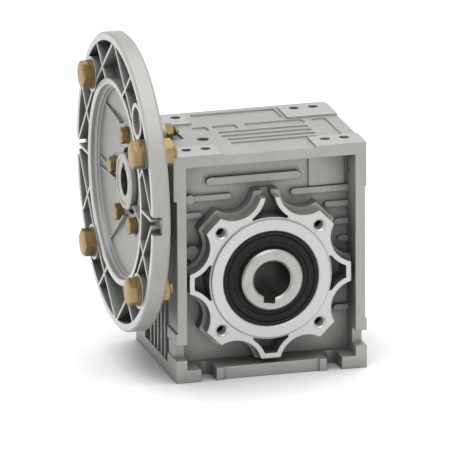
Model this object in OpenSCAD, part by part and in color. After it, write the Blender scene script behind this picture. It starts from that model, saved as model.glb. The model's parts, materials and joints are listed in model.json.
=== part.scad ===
/* [Gear pair] */
// Module of the worm gear pair
gear_module = 3; // [2.9:0.05:3.1]
// Number of teeth on the worm wheel
wheel_teeth = 30; // [29:1:31]
// Pitch radius of the worm
worm_pitch_r = 15; // [14.5:0.25:16]
// Gap between the flanks at the pitch line, on each side
flank_gap = 0.14; // [0.12:0.01:0.2]
// Width of the bronze wheel rim
rim_width = 20; // [18:1:21]
// Radius of the seat between the wheel rim and its hub
rim_seat_r = 35; // [34:0.5:37]

/* [Output shaft] */
// Bore of the hollow output shaft
output_bore_d = 25; // [22:1:26]
// Width of the keyway in the output bore
output_key_w = 8; // [6:1:8]
// Depth of the keyway beyond the output bore
output_key_h = 3.3; // [2.8:0.1:3.6]
// Outside diameter of the shaft at the seals
output_hub_d = 42; // [40:0.5:43]
// How far the shaft ends stand in front of the star faces
output_hub_proud = 5.2; // [4:0.2:7]
// Turn of the shaft and its keyway as photographed
output_turn = -9.5; // [-30:0.5:30]

/* [Output bearings] */
// Bore of the output bearings
output_bearing_d = 45; // [44:0.5:46]
// Outside diameter of the output bearings
output_bearing_od = 75; // [73:0.5:76]
// Width of the output bearings
output_bearing_w = 16; // [15:0.5:17]
// Number of balls in each output bearing
output_balls = 11; // [9:1:12]
// Outside diameter of the output seals
output_seal_od = 65; // [63:0.5:67]
// Width of the output seals
output_seal_w = 8; // [7:0.5:8.5]

/* [Worm shaft] */
// Outside diameter of the hollow input hub
input_hub_d = 38.5; // [38:0.5:39]
// Bore of the input hub
input_bore_d = 19; // [17:0.5:20]
// Width of the keyway in the input bore
input_key_w = 6; // [5:0.5:6]
// Depth of the keyway beyond the input bore
input_key_h = 2.8; // [2.2:0.1:3]
// Depth of the input bore
input_bore_l = 44; // [40:1:45]
// How far the hub end lies behind the flange face
input_hub_sunk = 5.9; // [5.5:0.1:6.5]
// Outside diameter of the input bearing and seal
input_bearing_od = 47; // [46.5:0.5:48]
// Bore of the tail bearing
tail_bearing_d = 20; // [18:0.5:21]
// Outside diameter of the tail bearing
tail_bearing_od = 47; // [46:0.5:48]
// Width of the tail bearing
tail_bearing_w = 14; // [13:0.5:15]

/* [Housing] */
// Thickness of the cast walls
wall = 5.5; // [5:0.25:6.5]
// Thickness of the corner posts
post_t = 6.5; // [5:0.5:7]
// How far the blocks stand out past the walls
block_out = 6.5; // [5.5:0.5:8]
// Depth of the recess in front of the wall, to the frame edge
recess = 22; // [20:0.5:24]
// Thickness of the foot plate
foot_t = 8.5; // [7:0.5:10]
// Height of the corner pads on top
pad_h = 1.5; // [1:0.25:2.5]
// Distance between the foot slots
foot_slot_pitch = 86.4; // [82:0.4:88]
// Width of the foot slots
foot_slot_w = 10.5; // [9:0.5:11]
// Hole spacing of the outer holes in the pads
pad_outer_pitch = 108.4; // [105:0.2:110]
// Hole spacing of the inner holes in the pads
pad_inner_pitch = 82; // [79:0.2:84]
// Diameter of the holes in the pads
pad_hole_d = 6.8; // [5:0.2:8]
// Bolt circle of the star faces
star_circle_d = 95; // [93:0.5:96]
// Diameter of the holes in the star faces
star_hole_d = 8.4; // [6.8:0.2:9]
// Outside diameter of the raised ring on the star faces
pilot_ring_d = 82; // [80:0.5:83]
// Height of the raised ring
pilot_ring_h = 2; // [1:0.25:3]

/* [Motor flange] */
// Outside diameter of the motor flange
flange_d = 200; // [196:1:206]
// Thickness of the flange rim
flange_t = 12; // [11:0.5:14]
// Distance from the housing side to the flange face
flange_reach = 27.8; // [26:0.2:32]
// Bore that takes the motor spigot
flange_pilot_d = 130; // [126:0.5:132]
// Bolt circle of the flange
flange_circle_d = 165; // [162:0.5:168]
// Diameter of the flange bolt holes
flange_hole_d = 12; // [11:0.5:13]
// Angle of the extra bolt from the near side
extra_bolt_angle = 28.6; // [26:0.2:30]
// Radius of the screws that hold the flange
flange_screw_r = 31.5; // [31:0.1:32.5]
// Thickness of the ribs in the flange
flange_rib_t = 1.8; // [1.4:0.1:2.6]

/* [Hidden] */
$fn = 64;
// small amount by which a cut runs past a face
past = 1;
// gap of a press or slide seat and of a running seat
seat_gap = 0.02;
run_gap = 0.05;

// gear pair sizes that follow from the module
pitch = PI * gear_module;
wheel_pitch_r = gear_module * wheel_teeth / 2;
worm_z = worm_pitch_r + wheel_pitch_r;
worm_tip_r = worm_pitch_r + gear_module;
worm_root_r = worm_pitch_r - 1.2 * gear_module;
wheel_throat_r = wheel_pitch_r + gear_module;
wheel_tip_r = wheel_pitch_r + 1.5 * gear_module;
pressure_angle = 20;
// number of steps round one turn of the thread, and thread length
thread_steps = 24;
thread_turns = 4;
thread_len = (thread_turns + 0.88) * pitch;
thread_core_r = worm_root_r - 2;

// housing sizes along X
cavity_x = wheel_tip_r + 4;
core_x = cavity_x + wall;
post_in = core_x - 1;
post_out = post_in + post_t;
half_w = core_x + block_out;
// housing sizes along Y
hub_half = 24;
cavity_y = hub_half + 0.5;
core_y = cavity_y + wall;
frame_y = core_y + recess;
seat_plate = 10;
star_back_y = hub_half + output_bearing_w;
star_y = star_back_y + seat_plate;
ring_y = star_y + pilot_ring_h;
hub_end_y = star_y + output_hub_proud;
// housing sizes along Z
cavity_bottom = -wheel_tip_r - 5.2;
foot_top = cavity_bottom - 4;
foot_bottom = foot_top - foot_t;
cavity_top = worm_z + worm_tip_r + 2.5;
rail_z = cavity_top + 7.5;
pad_z = rail_z + pad_h;
rail_t = 7;

// bearing radii
out_shaft_r = output_bearing_d / 2;
out_outer_r = output_bearing_od / 2;
input_outer_r = input_bearing_od / 2;
input_bearing_d = input_hub_d - 3.5;
input_bearing_w = 7;
tail_outer_r = tail_bearing_od / 2;
seal_lap = 1.5;

// stations along X of the input end
side_x = -half_w;
seal_x0 = side_x + 0.5;
input_seal_w = 7;
circlip_t = 1.5;
// how deep the snap rings stand in their grooves
clip_in = 0.7;
input_clip_x = seal_x0 + input_seal_w + 0.4;
input_bearing_x = input_clip_x + circlip_t + 0.05;
input_seat_end = input_bearing_x + input_bearing_w;
flange_x = side_x - flange_reach;
rim_back_x = flange_x + flange_t;
hub_end_x = flange_x + input_hub_sunk;
// stations along X of the tail end
tail_bearing_x = half_w - 23;
tail_clip_x = tail_bearing_x + tail_bearing_w + 0.05;
tail_cap_x = tail_clip_x + circlip_t + 0.4;
boss_in_x = 36;

// star outline
arm_reach = star_circle_d / 2 + 8;
arm_half = 6;
lobe_reach = star_circle_d / 2 + 7.5;
lobe_half = 7.2;
scallop_r = 18.4;
scallop_c = [59.8, 24.6];
cell_wall = 3.4;

// flange stations
web_t = 3;
rim_land = 5.5;
pilot_land = 4;
pilot_depth = 4;
pocket_floor_x = rim_back_x - web_t;
dish_x = flange_x + 10.5;
flange_hub_r = flange_screw_r + 6;
flange_bore_r = input_hub_d / 2 + 3;
boss_r = 12;
sink_r = 9.2;
sink_depth = 4;
flange_bolt_angles = [45, 135, 225, 315];
fitted_bolt_angles = [extra_bolt_angle, 135, 225, 315];
screw_angles = [91, 175, 236, 305];
// how far each of these screws reaches past the side of the housing
screw_reach = [16, 6.5, 11, 11];
// ribs of the dish: radius and angle at the inner end, angle at the outer end
dish_ribs = [[flange_screw_r + 7.6, 106, 138], [flange_screw_r + 7.6, 182, 180], [flange_bore_r + 2, 192, 187],
    [flange_bore_r + 3, 262, 234], [flange_bore_r + 3, 334, 338]];
notch_w = 12.5;
notch_depth = 6;
notch_drop = 2.5;

// fastener sizes
m10_head_h = 6;
m10_af = 17;
m10_washer_t = 1.6;
m10_washer_r = 10;
m10_nut_h = 8;
m10_r = 5;
m6_af = 10;
m6_head_h = 4;
m6_washer_t = 1.6;
m6_washer_r = 5.8;
m6_r = 3;
m5_head_r = 4.25;
m5_head_h = 5;
m5_r = 2.5;

// a flat shape drawn in X and Z, thick from y = a to y = b
module slab_y(a, b) translate([0, b, 0]) rotate([90, 0, 0]) linear_extrude(b - a) children();
// a flat shape drawn in Y and Z, thick from x = a to x = b
module slab_x(a, b) translate([a, 0, 0]) rotate([90, 0, 90]) linear_extrude(b - a) children();
// a flat shape drawn in X and Y, thick from z = a to z = b
module slab_z(a, b) translate([0, 0, a]) linear_extrude(b - a) children();
// a box between two corners
module box(a, b) translate(a) cube(b - a);
// a turned shape about the output axis, drawn as radius and y
module turn_y() rotate([-90, 0, 0]) rotate_extrude() children();
// a turned shape about the worm axis, drawn as radius and x
module turn_x() translate([0, 0, worm_z]) rotate([0, 90, 0]) rotate_extrude() children();
// a round bar along Y or X between two stations
module bar_y(r, a, b) translate([0, a, 0]) rotate([-90, 0, 0]) cylinder(r = r, h = b - a);
module bar_x(r, a, b) translate([a, 0, 0]) rotate([0, 90, 0]) cylinder(r = r, h = b - a);
// copies mirrored front and back, and on both sides
module both_y() { children(); mirror([0, 1, 0]) children(); }
module both_x() { children(); mirror([1, 0, 0]) children(); }
// a place on the flange circle, angle from the near side
module on_flange(r, a) translate([0, -r * cos(a), worm_z + r * sin(a)]) children();

// outline of the star face, grown by g
module star_outline(g) {
    difference() {
        polygon([for (k = [0:3]) each [
            for (p = [[arm_reach + g, -arm_half - g / 2], [arm_reach + g, arm_half + g / 2],
                [(lobe_reach + g + lobe_half) / sqrt(2), (lobe_reach + g - lobe_half) / sqrt(2)],
                [(lobe_reach + g - lobe_half) / sqrt(2), (lobe_reach + g + lobe_half) / sqrt(2)]])
            [p.x * cos(90 * k) - p.y * sin(90 * k), p.x * sin(90 * k) + p.y * cos(90 * k)]]]);
        scallops(scallop_r - g);
    }
}
module scallops(r) {
    for (k = [0:3], s = [-1, 1])
        rotate(90 * k) translate([scallop_c.x, s * scallop_c.y]) circle(r = r);
}
// windows through the four arms, the top one open at its end
module star_windows(open_top) {
    for (k = [0:3]) rotate(90 * k) difference() {
        reach = (open_top && k == 1) ? arm_reach + 6 : arm_reach - cell_wall;
        translate([pilot_ring_d / 2 - 2, -12]) square([reach - pilot_ring_d / 2 + 2, 24]);
        circle(r = pilot_ring_d / 2 + 1);
        for (s = [-1, 1]) translate([scallop_c.x, s * scallop_c.y]) circle(r = scallop_r + cell_wall);
    }
}
// tapped holes of the star face
module star_holes() {
    for (a = [45:90:315]) rotate(a) translate([star_circle_d / 2, 0]) circle(d = star_hole_d);
}
// star plate, ring and the wavy drum behind it, standing on y = wall_y, facing -Y
module star_front(wall_y, open_top, grow) {
    difference() {
        union() {
            slab_y(-star_back_y, -wall_y) star_outline(grow);
            slab_y(-star_y, -star_back_y) star_outline(0);
            turn_y() polygon([[0, -wall_y], [pilot_ring_d / 2, -wall_y], [pilot_ring_d / 2, -ring_y + 0.6],
                [pilot_ring_d / 2 - 0.6, -ring_y], [0, -ring_y]]);
        }
        slab_y(-star_y - past, -wall_y - 4) star_windows(open_top);
        slab_y(-star_y - past, -star_y + 17) star_holes();
    }
}
// bores for one output bearing and its seal, facing -Y
module output_seat() {
    bar_y(output_seal_od / 2, -ring_y - past, -ring_y + 0.5 + output_seal_w);
    bar_y(output_seal_od / 2 - seal_lap, -ring_y, -hub_half);
    bar_y(out_outer_r + seat_gap, -star_back_y, -hub_half + past);
    turn_y() polygon([[0, -ring_y - past], [output_seal_od / 2 + 1 + past, -ring_y - past],
        [output_seal_od / 2, -ring_y + 1], [0, -ring_y + 1]]);
}

// one rounded rib lying on the front wall from x = a to x = b at height z
module wall_rib(a, b, z, r) {
    slab_y(-core_y - 3, -core_y + past) {
        translate([a, z - r]) square([b - a, 2 * r]);
        translate([a, z]) circle(r = r);
        translate([b, z]) circle(r = r);
    }
}
module upper_ribs() {
    wall_rib(-36.5, 23, worm_z + 4.7, 2.7);
    slab_y(-core_y - 1.6, -core_y + past)
        translate([31.5, worm_z - 4.4]) square([24.5, 20]);
}
module wall_ribs() {
    upper_ribs();
    wall_rib(-post_in, -24, worm_z - 6.4, 2);
    translate([-51, 0, worm_z - 6.2]) bar_y(3.3, -core_y - 5, -core_y + past);
    translate([-49.5, 0, 17]) bar_y(5, -core_y - 5, -core_y + past);
    wall_rib(-post_in, -44, worm_z - 17.8, 2);
    wall_rib(21, post_in, worm_z - 7, 2.2);
    wall_rib(44, post_in, worm_z - 17.8, 2);
    wall_rib(50.5, post_in, worm_z - 30.2, 2);
    wall_rib(53, post_in, worm_z - 42.2, 2);
    wall_rib(50, post_in, -29.7, 2);
}
// frame round the front face: posts, blocks, foot blocks, and the rail edges
module front_frame() {
    for (s = [-1, 1]) {
        slab_y(-frame_y, -core_y + past) {
            polygon([[s * post_in, foot_bottom + 1], [s * post_out, foot_bottom + 1],
                [s * post_out, rail_z - 1], [s * post_in, rail_z - 1]]);
            polygon([[s * post_in, worm_z - 1.5], [s * half_w, worm_z - 1.5],
                [s * half_w, rail_z - 1], [s * post_in, rail_z - 1]]);
            polygon([[s * post_in, -41], [s * half_w, -41], [s * half_w, -33], [s * post_in, -33]]);
            polygon([[s * post_in, foot_bottom], [s * half_w, foot_bottom],
                [s * half_w, foot_top + 7], [s * post_in, foot_top + 7]]);
        }
    }
}
// corner notches over the feet and the hole through the right post
module frame_cuts() {
    for (s = [-1, 1])
        slab_y(-frame_y - past, -frame_y + 9)
            translate([s > 0 ? post_in : -half_w - past, foot_top + 7])
                square([half_w + past - post_in, -41 - foot_top - 7]);
    translate([0, -core_y - 6, worm_z + 7]) bar_x(2.5, post_in - past, half_w + past);
}
// foot plate with slots open to the front and back edges
module foot_plate() {
    slot_end = frame_y - 11.5;
    difference() {
        box([-half_w, -frame_y, foot_bottom], [half_w, frame_y, foot_top]);
        both_y() both_x() {
            translate([foot_slot_pitch / 2, -slot_end, foot_bottom - past])
                cylinder(d = foot_slot_w, h = foot_t + 2 * past);
            box([foot_slot_pitch / 2 - foot_slot_w / 2, -frame_y - past, foot_bottom - past],
                [foot_slot_pitch / 2 + foot_slot_w / 2, -slot_end, foot_top + past]);
            box([-past, -frame_y - past, foot_bottom - past],
                [foot_slot_pitch / 2 - 10.3, -frame_y + 1.5, foot_top + past]);
        }
        box([-foot_slot_pitch / 2 + 10.3, -frame_y + 8, foot_bottom - past],
            [foot_slot_pitch / 2 - 10.3, frame_y - 8, foot_bottom + 1]);
    }
}
// top plate with pads, rails, ribs and pockets
top_floor = rail_z - 4.5;
pad_x = 33;
pad_y = 30.5;
// depth of the pad holes, on through the plate into the blocks
pad_hole_l = 20;
far_y0 = 19;
// how far the near left corner stands out past the side
corner_out = 1.2;
module top_plate() {
    difference() {
        union() {
            box([-half_w, -frame_y, rail_z - rail_t], [half_w, frame_y, rail_z]);
            box([-half_w, -frame_y, rail_z - rail_t], [-pad_x, -pad_y, pad_z]);
            box([-half_w - corner_out, -frame_y, worm_z - 1.5], [past - half_w, 7.5 - frame_y, pad_z]);
            box([pad_x - 2, -frame_y, rail_z - rail_t], [half_w, -pad_y, pad_z]);
            box([-half_w, far_y0 + 4, rail_z - rail_t], [-pad_x - 1, frame_y - 7, pad_z]);
            box([pad_x - 2, far_y0 - 1, rail_z - rail_t], [half_w, frame_y - 7, pad_z]);
        }
        groove(-20, 40, -29, -23.5);
        groove(-20, 40, -20.5, -15);
        groove(-22, 40, -12, -6.5);
        groove(-22, 40, -3.5, 2);
        groove(-22, -6, 5.5, 16.5);
        groove(0, 40, 5.5, 16.5);
        groove(46, post_in - 2, -pad_y + 4, far_y0 - 4);
        groove(-46, -26, 5.5, 16.5);
        box([-pad_x + 4, far_y0 + 3, rail_z - 1.2], [pad_x - 4, frame_y - 6, rail_z + past]);
    }
}
// one long pocket with round ends in the top plate
module groove(a, b, c, d) {
    r = min(2.5, (d - c) / 2 - 0.05);
    slab_z(top_floor, rail_z + past) union() {
        translate([a + r, c]) square([b - a - 2 * r, d - c]);
        translate([a, c + r]) square([b - a, d - c - 2 * r]);
        for (x = [a + r, b - r], y = [c + r, d - r]) translate([x, y]) circle(r = r);
    }
}
// cooling ribs and bosses on the two sides
module side_form() {
    for (y = [-18:9:18]) for (s = [-1, 1])
        translate([s > 0 ? core_x - past : -half_w + 1, y - 1.2, foot_top - past])
            cube([half_w - core_x + past - 1, 2.4, worm_z - 30 - foot_top]);
    for (s = [-1, 1])
        box([s > 0 ? core_x - past : -half_w, -core_y, worm_z - 38],
            [s > 0 ? half_w : -core_x + past, core_y, rail_z]);
    translate([side_x, 0, worm_z]) intersection() {
        bar_x(flange_hub_r, 0, half_w - boss_in_x);
        box([0, -core_y, -flange_hub_r - past], [half_w, core_y, rail_z - worm_z]);
    }
    on_flange(flange_screw_r, screw_angles[0]) translate([side_x, 0, 0]) {
        bar_x(6, 0, 7);
        box([0, -6, -8], [7, 6, 0]);
    }
}
module housing_cavity() {
    box([-cavity_x, -cavity_y, cavity_bottom], [cavity_x, cavity_y, worm_z - 31]);
    box([-boss_in_x, -cavity_y, worm_z - 31 - past], [boss_in_x, cavity_y, cavity_top]);
    bar_y(wheel_tip_r + 1.1, -cavity_y, core_y + past);
    translate([0, 0, worm_z]) {
        bar_x(input_outer_r + seat_gap, side_x - past, input_seat_end);
        bar_x(input_outer_r - 2.5, side_x, -boss_in_x + past);
        bar_x(tail_outer_r + seat_gap, tail_bearing_x, half_w + past);
        bar_x(tail_outer_r - 3, boss_in_x - past, half_w);
        bar_x(input_outer_r + clip_in + 0.2, input_clip_x, input_clip_x + circlip_t + 0.05);
        bar_x(tail_outer_r + clip_in + 0.2, tail_clip_x, tail_clip_x + circlip_t + 0.05);
    }
}
cover_screw_r = 60;
cover_screw_angles = [for (a = [45:90:315], d = [-11, 11]) a + d];
module housing() {
    color([0.72, 0.72, 0.70]) difference() {
        union() {
            box([-core_x, -core_y, foot_top - past], [core_x, core_y, rail_z - 1]);
            foot_plate();
            top_plate();
            both_y() front_frame();
            wall_ribs();
            mirror([0, 1, 0]) upper_ribs();
            star_front(core_y - past, true, 2.5);
            side_form();
        }
        difference() {
            housing_cavity();
            difference() {
                bar_y(out_outer_r + 6, -core_y, -hub_half + 1);
                bar_y(out_outer_r - 2, -core_y - past, -hub_half + 1 + past);
            }
            for (a = cover_screw_angles) rotate([0, a, 0]) translate([cover_screw_r, 0, 0])
                bar_y(5, cavity_y - 6, core_y);
        }
        output_seat();
        both_y() frame_cuts();
        for (x = [pad_outer_pitch / 2, pad_inner_pitch / 2], s = [-1, 1], t = [-1, 1])
            translate([s * x, t * (frame_y - 14), rail_z - pad_hole_l])
                cylinder(d = pad_hole_d, h = pad_hole_l + pad_h + past);
        for (a = cover_screw_angles) rotate([0, a, 0]) translate([cover_screw_r, 0, 0])
            bar_y(m5_r, core_y - 9.5, core_y + past);
        for (i = [0:3]) on_flange(flange_screw_r, screw_angles[i])
            bar_x(i == 0 ? m6_r + 0.3 : m6_r, side_x - past, side_x + (i == 0 ? 8 : screw_reach[i] + 0.5));
        translate([plug_x, plug_y, cavity_top - past])
            cylinder(r = plug_r + seat_gap, h = 20);
        box([side_x + 7, -7.5, worm_z + flange_screw_r - m6_af / 2 - 0.3], [side_x + 18, 7.5, rail_z + past]);
    }
}
plug_x = -35.5;
plug_y = -11.5;
plug_r = 4;

// star-shaped cover on the back, with its bearing seat
spigot_r = wheel_tip_r + 1;
module output_cover() {
    color([0.72, 0.72, 0.70]) difference() {
        union() {
            mirror([0, 1, 0]) star_front(core_y, false, 1.5);
            bar_y(spigot_r, cavity_y + 1, core_y + past);
            bar_y(out_outer_r + 6, hub_half, core_y);
            slab_y(core_y + seat_gap, core_y + 6) union() {
                circle(r = core_x - 3);
                for (a = cover_screw_angles) rotate(a) translate([cover_screw_r - 4, -4.6])
                    square([4, 9.2]);
                for (a = cover_screw_angles) rotate(a) translate([cover_screw_r, 0]) circle(r = 5.2);
            }
        }
        mirror([0, 1, 0]) output_seat();
        difference() {
            bar_y(spigot_r + past, cavity_y + 2.2, cavity_y + 4.4);
            bar_y(spigot_r - 2, cavity_y, core_y);
        }
        for (a = cover_screw_angles) rotate([0, a, 0]) translate([cover_screw_r, 0, 0]) {
            bar_y(m5_r + 0.3, core_y - past, core_y + 20);
            bar_y(m5_head_r + 0.5, core_y + 6, core_y + 30);
        }
    }
}
module cover_screws() {
    color([0.35, 0.35, 0.36]) for (a = cover_screw_angles) rotate([0, a, 0])
        translate([cover_screw_r, 0, 0]) difference() {
            union() {
                bar_y(m5_head_r, core_y + 6, core_y + 6 + m5_head_h);
                bar_y(m5_r - seat_gap, core_y - 8, core_y + 6 + 0.5);
            }
            translate([0, core_y + 6 + 2.4, 0]) rotate([-90, 0, 0]) cylinder(r = 2.3, h = 5, $fn = 6);
        }
}
module cover_o_ring() {
    color([0.08, 0.08, 0.08]) turn_y() translate([spigot_r - 1, cavity_y + 3.3]) circle(r = 0.95);
}

// hollow output shaft with the hub that carries the wheel rim
hub_r = out_shaft_r + 4;
module rim_seat_shape() {
    polygon([for (p = seat_points(0)) [p.x, p.z]]);
}
module keyed_bore(d, kw, kh, a, b, turn) {
    bar_y(d / 2, a, b);
    rotate([0, turn, 0]) box([-kw / 2, a, -d / 2 - kh], [kw / 2, b, 0]);
}
module output_shaft() {
    sr = output_hub_d / 2;
    br = output_bore_d / 2;
    color([0.62, 0.61, 0.59]) difference() {
        union() {
            both_y() turn_y() polygon([[0, -hub_end_y], [sr - 1.2, -hub_end_y], [sr, -hub_end_y + 1.2],
                [sr, -star_back_y + 0.6], [out_shaft_r - 0.5, -star_back_y + 0.6],
                [out_shaft_r - 0.01, -star_back_y + 1.1], [out_shaft_r - 0.01, -hub_half], [hub_r, -hub_half],
                [hub_r, 0], [0, 0]]);
            slab_y(-rim_width / 2 + 2, rim_width / 2 - 2) rim_seat_shape();
        }
        keyed_bore(output_bore_d, output_key_w, output_key_h, -hub_end_y - past, hub_end_y + past, -output_turn);
        both_y() turn_y() polygon([[0, -hub_end_y - past], [br + 1.4 + past, -hub_end_y - past],
            [br, -hub_end_y + 1.4], [0, -hub_end_y + 1.4]]);
    }
}

// tooth flanks of the wheel, as left by the worm thread in each plane across its face
lead_per_rad = pitch / (2 * PI);
slope = tan(pressure_angle);
function thread_half(p) = pitch / 4 - flank_gap - (p - worm_pitch_r) * slope;
// place and slope of the thread flank at depth h below the worm axis, in the plane y
function rack_x(y, h, s) = s * (pitch / 4 - (norm([y, h]) - worm_pitch_r) * slope)
    + lead_per_rad * atan2(y, h) * PI / 180;
function rack_dx(y, h, s) = -s * slope * h / norm([y, h]) - lead_per_rad * y / (y * y + h * h);
function meet_x(y, h, s) = (worm_pitch_r - h) / rack_dx(y, h, s);
// radius and angle on the wheel that the flank point at depth h makes
function tooth_r(y, h, s) = norm([meet_x(y, h, s), worm_z - h]);
function tooth_a(y, h, s) = atan2(meet_x(y, h, s), worm_z - h)
    - (meet_x(y, h, s) - rack_x(y, h, s)) / wheel_pitch_r * 180 / PI;
// depth at which the flank reaches the radius r, by halving
function depth_at(y, s, r, lo, hi, n) = n == 0 ? (lo + hi) / 2 :
    tooth_r(y, (lo + hi) / 2, s) > r ? depth_at(y, s, r, (lo + hi) / 2, hi, n - 1)
        : depth_at(y, s, r, lo, (lo + hi) / 2, n - 1);
function tip_r_at(y) = abs(y) < worm_root_r + 0.6 - 0.01 ?
    min(wheel_tip_r, worm_z - sqrt(pow(worm_z - wheel_throat_r, 2) - y * y)) : wheel_tip_r;
function root_r_at(y) = worm_z - sqrt(pow(worm_tip_r + 0.25 * gear_module, 2) - y * y);
flank_points = 4;
function flank(y, s) = let (top = depth_at(y, s, tip_r_at(y), 0.6 * worm_pitch_r, worm_pitch_r, 14),
    low = sqrt(pow(worm_tip_r, 2) - y * y)) [for (i = [0:flank_points - 1])
    let (h = top + (low - top) * i / (flank_points - 1)) [tooth_r(y, h, s), tooth_a(y, h, s)]];
// outline of the whole toothed rim in the plane y, space after space
function space_points(y) = let (left = flank(y, -1), right = flank(y, 1), n = flank_points,
        rr = root_r_at(y)) concat(
    [for (i = [0:n - 1]) left[i]], [[rr, left[n - 1][1]], [rr, right[n - 1][1]]],
    [for (i = [n - 1:-1:0]) right[i]]);
function ring_points(y) = let (sp = space_points(y)) [for (t = [0:wheel_teeth - 1], p = sp)
    let (a = p[1] + 360 * t / wheel_teeth) [p[0] * sin(a), y, p[0] * cos(a)]];
rim_planes = [-1, -0.68, -0.34, 0, 0.34, 0.68, 1];
// corners of the flat-sided seat between rim and hub, one at the middle of each tooth
function seat_points(y) = [for (t = [0:wheel_teeth - 1]) let (a = 360 * (t - 0.5) / wheel_teeth)
    [rim_seat_r * sin(a), y, rim_seat_r * cos(a)]];
module wheel_rim() {
    rings = [for (f = rim_planes) ring_points(f * rim_width / 2)];
    n = len(rings[0]);
    m = len(rings);
    per = n / wheel_teeth;
    in0 = n * m;
    in1 = in0 + wheel_teeth;
    color([0.80, 0.62, 0.28]) polyhedron(
        points = concat([for (r = rings) each r], seat_points(-rim_width / 2), seat_points(rim_width / 2)),
        faces = concat(
            [for (t = [0:wheel_teeth - 1]) let (u = (t + 1) % wheel_teeth) concat([in0 + t],
                [for (i = [0:per - 1]) t * per + i], [u * per, in0 + u])],
            [for (k = [0:m - 2], i = [0:n - 1]) each [
                [k * n + i, (k + 1) * n + i, (k + 1) * n + (i + 1) % n],
                [k * n + i, (k + 1) * n + (i + 1) % n, k * n + (i + 1) % n]]],
            [for (t = [0:wheel_teeth - 1]) let (u = (t + 1) % wheel_teeth) concat([in1 + u, (m - 1) * n + u * per],
                [for (i = [per - 1:-1:0]) (m - 1) * n + t * per + i], [in1 + t])],
            [for (t = [0:wheel_teeth - 1]) let (u = (t + 1) % wheel_teeth) [in0 + u, in1 + u, in1 + t, in0 + t]]));
}

// worm thread, a ridge of straight flanks wound round a core
module worm_thread() {
    steps = thread_turns * thread_steps;
    root = worm_root_r - 0.4;
    function section(k) = let (a = 360 * k / thread_steps - 90,
        x0 = pitch * (k - steps / 2) / thread_steps,
        lift = min(1, k / 6, (steps - k) / 6), tip = root + 0.5 + (worm_tip_r - root - 0.5) * lift)
        [for (q = [[-thread_half(root), root - 0.6], [-thread_half(tip), tip],
            [thread_half(tip), tip], [thread_half(root), root - 0.6]])
            [x0 + q[0], q[1] * cos(a), worm_z + q[1] * sin(a)]];
    color([0.55, 0.55, 0.56]) difference() {
        union() {
            polyhedron(points = [for (k = [0:steps]) each section(k)],
                faces = concat([[3, 2, 1, 0]],
                    [for (k = [0:steps - 1], i = [0:3]) each [
                        [4 * k + i, 4 * k + 4 + (i + 1) % 4, 4 * k + 4 + i],
                        [4 * k + i, 4 * k + (i + 1) % 4, 4 * k + 4 + (i + 1) % 4]]],
                    [[4 * steps, 4 * steps + 1, 4 * steps + 2, 4 * steps + 3]]));
            slab_x(-thread_len / 2, thread_len / 2) translate([0, worm_z]) polygon([
                for (i = [0:thread_steps - 1]) worm_root_r * [cos(360 * i / thread_steps),
                    sin(360 * i / thread_steps)]]);
        }
        slab_x(-thread_len, thread_len) translate([0, worm_z]) core_shape();
    }
}
module core_shape() {
    polygon([for (i = [0:11]) thread_core_r * [cos(30 * i), sin(30 * i)]]);
}
// worm shaft with the hollow input hub
tail_r = tail_bearing_d / 2;
module worm_shaft() {
    hr = input_hub_d / 2;
    jr = input_bearing_d / 2 - 0.01;
    er = input_bore_d / 2;
    step_x = input_clip_x - 0.5;
    color([0.55, 0.54, 0.53]) difference() {
        union() {
            turn_x() polygon([[0, hub_end_x + 0.5], [hr * 0.82, hub_end_x + 0.5], [hr * 0.82, hub_end_x],
                [hr - 1, hub_end_x], [hr, hub_end_x + 1], [hr, step_x], [hr + 1.5, step_x],
                [hr + 1.5, input_bearing_x], [jr, input_bearing_x], [jr, input_seat_end + 2],
                [worm_root_r + 1.5, input_seat_end + 12], [worm_root_r + 1.5, -thread_len / 2],
                [0, -thread_len / 2]]);
            slab_x(-thread_len / 2 - past, thread_len / 2 + past) translate([0, worm_z]) core_shape();
            turn_x() polygon([[0, thread_len / 2], [worm_root_r + 1.5, thread_len / 2],
                [worm_root_r + 1.5, tail_bearing_x], [tail_r - 0.01, tail_bearing_x],
                [tail_r - 0.01, tail_bearing_x + tail_bearing_w + 1],
                [tail_r - 1, tail_bearing_x + tail_bearing_w + 2], [0, tail_bearing_x + tail_bearing_w + 2]]);
        }
        translate([0, 0, worm_z]) {
            bar_x(er, hub_end_x - past, hub_end_x + input_bore_l);
            box([hub_end_x - past, -input_key_w / 2, 0],
                [hub_end_x + input_bore_l - 2, input_key_w / 2, er + input_key_h]);
        }
        turn_x() polygon([[0, hub_end_x - past], [er + 1 + past, hub_end_x - past],
            [er, hub_end_x + 1], [0, hub_end_x + 1]]);
    }
}

// ball bearings, turned about Z from z = 0 to z = w
function race_mid(ri, ro) = (ri + ro) / 2;
function ball_r(ri, ro, w) = min(0.31 * (ro - ri), 0.4 * w);
module outer_ring(ri, ro, w) {
    m = race_mid(ri, ro);
    b = ball_r(ri, ro, w);
    rotate_extrude() difference() {
        polygon([[m + 0.55 * b, 0], [ro - 0.6, 0], [ro, 0.6], [ro, w - 0.6], [ro - 0.6, w], [m + 0.55 * b, w]]);
        translate([m, w / 2]) circle(r = b + 0.2);
    }
}
module inner_ring(ri, ro, w) {
    m = race_mid(ri, ro);
    b = ball_r(ri, ro, w);
    rotate_extrude() difference() {
        polygon([[ri, 0.6], [ri + 0.6, 0], [m - 0.55 * b, 0], [m - 0.55 * b, w], [ri + 0.6, w], [ri, w - 0.6]]);
        translate([m, w / 2]) circle(r = b + 0.2);
    }
}
module balls(ri, ro, w, n) {
    for (i = [0:n - 1]) rotate(360 * i / n) translate([race_mid(ri, ro), 0, w / 2]) sphere(r = ball_r(ri, ro, w));
}
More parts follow.
